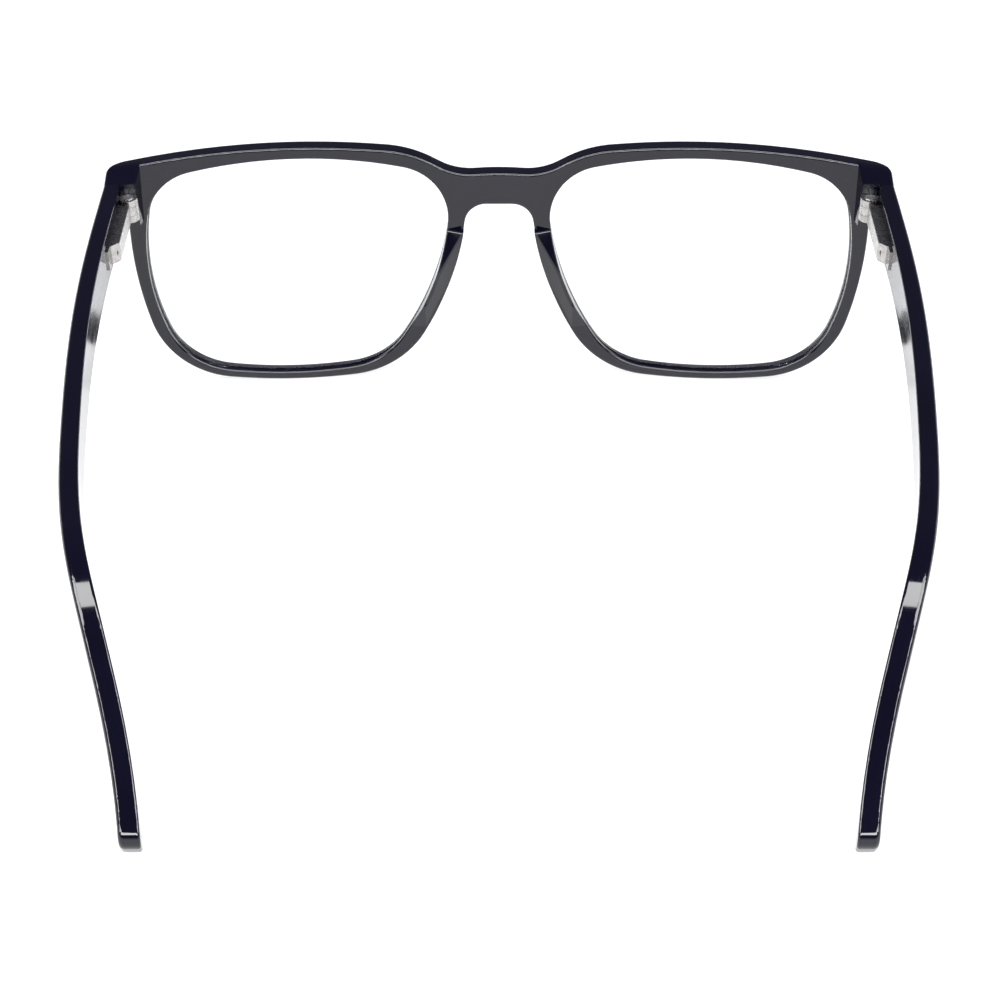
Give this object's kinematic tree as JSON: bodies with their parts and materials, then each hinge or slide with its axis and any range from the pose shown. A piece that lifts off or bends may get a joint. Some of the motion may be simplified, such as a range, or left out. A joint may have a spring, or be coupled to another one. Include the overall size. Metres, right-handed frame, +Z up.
{
  "type": "eyeglasses",
  "caption": "Full-rim rectangular acetate eyeglasses with clear lenses, bonded nose pads and folding temples on spring hinges.",
  "frame": {"origin": "on the surface that the glasses stand on, under the middle of the whole object with the temples open", "axes": "+Z up, the front faces -Y, the temples run back towards +Y and slope down to the table, +X is the wearer's left"},
  "size_m": [0.1408, 0.1478, 0.0465],
  "materials": {
    "acetate": "polished black cellulose acetate with a faint indigo cast",
    "lens": "clear coated resin lens, almost invisible",
    "nickel_silver": "polished nickel silver with a bright plating",
    "screw_steel": "turned stainless steel screw",
    "spring_steel": "drawn stainless spring wire",
    "bush_nylon": "natural nylon",
    "core_wire": "rolled nickel silver strip"
  },
  "bodies": {
    "front": {"front_frame": "acetate", "left_lens": "lens", "left_nose_pad": "acetate", "left_hinge_leaf": "nickel_silver", "left_hinge_screw": "screw_steel", "right_lens": "lens", "right_nose_pad": "acetate", "right_hinge_leaf": "nickel_silver", "right_hinge_screw": "screw_steel"},
    "left_slider": {"left_spring_slider": "nickel_silver", "left_hinge_bush": "bush_nylon", "left_spring_stop": "nickel_silver", "left_spring_coil": "spring_steel"},
    "left_temple_arm": {"left_temple": "acetate", "left_temple_core": "core_wire", "left_spring_housing": "nickel_silver"},
    "right_slider": {"right_spring_slider": "nickel_silver", "right_hinge_bush": "bush_nylon", "right_spring_stop": "nickel_silver", "right_spring_coil": "spring_steel"},
    "right_temple_arm": {"right_temple": "acetate", "right_temple_core": "core_wire", "right_spring_housing": "nickel_silver"}
  },
  "joints": [
    {"name": "left_fold", "type": "hinge", "parent": "front", "child": "left_slider", "pos_m": [0.066, -0.06057, 0.03816], "axis": [0, 0.1253, 0.9921], "range_deg": [0, 83]},
    {"name": "left_spring_travel", "type": "slide", "parent": "left_slider", "child": "left_temple_arm", "axis": [0, 0.9921, -0.1253], "range_m": [0, 0.001], "stiffness_N_per_m": 4000, "springref_m": -0.001, "deforming": ["left_spring_coil"]},
    {"name": "right_fold", "type": "hinge", "parent": "front", "child": "right_slider", "pos_m": [-0.066, -0.06057, 0.03816], "axis": [0, -0.1253, -0.9921], "range_deg": [0, 72]},
    {"name": "right_spring_travel", "type": "slide", "parent": "right_slider", "child": "right_temple_arm", "axis": [0, 0.9921, -0.1253], "range_m": [0, 0.001], "stiffness_N_per_m": 4000, "springref_m": -0.001, "deforming": ["right_spring_coil"]}
  ]
}
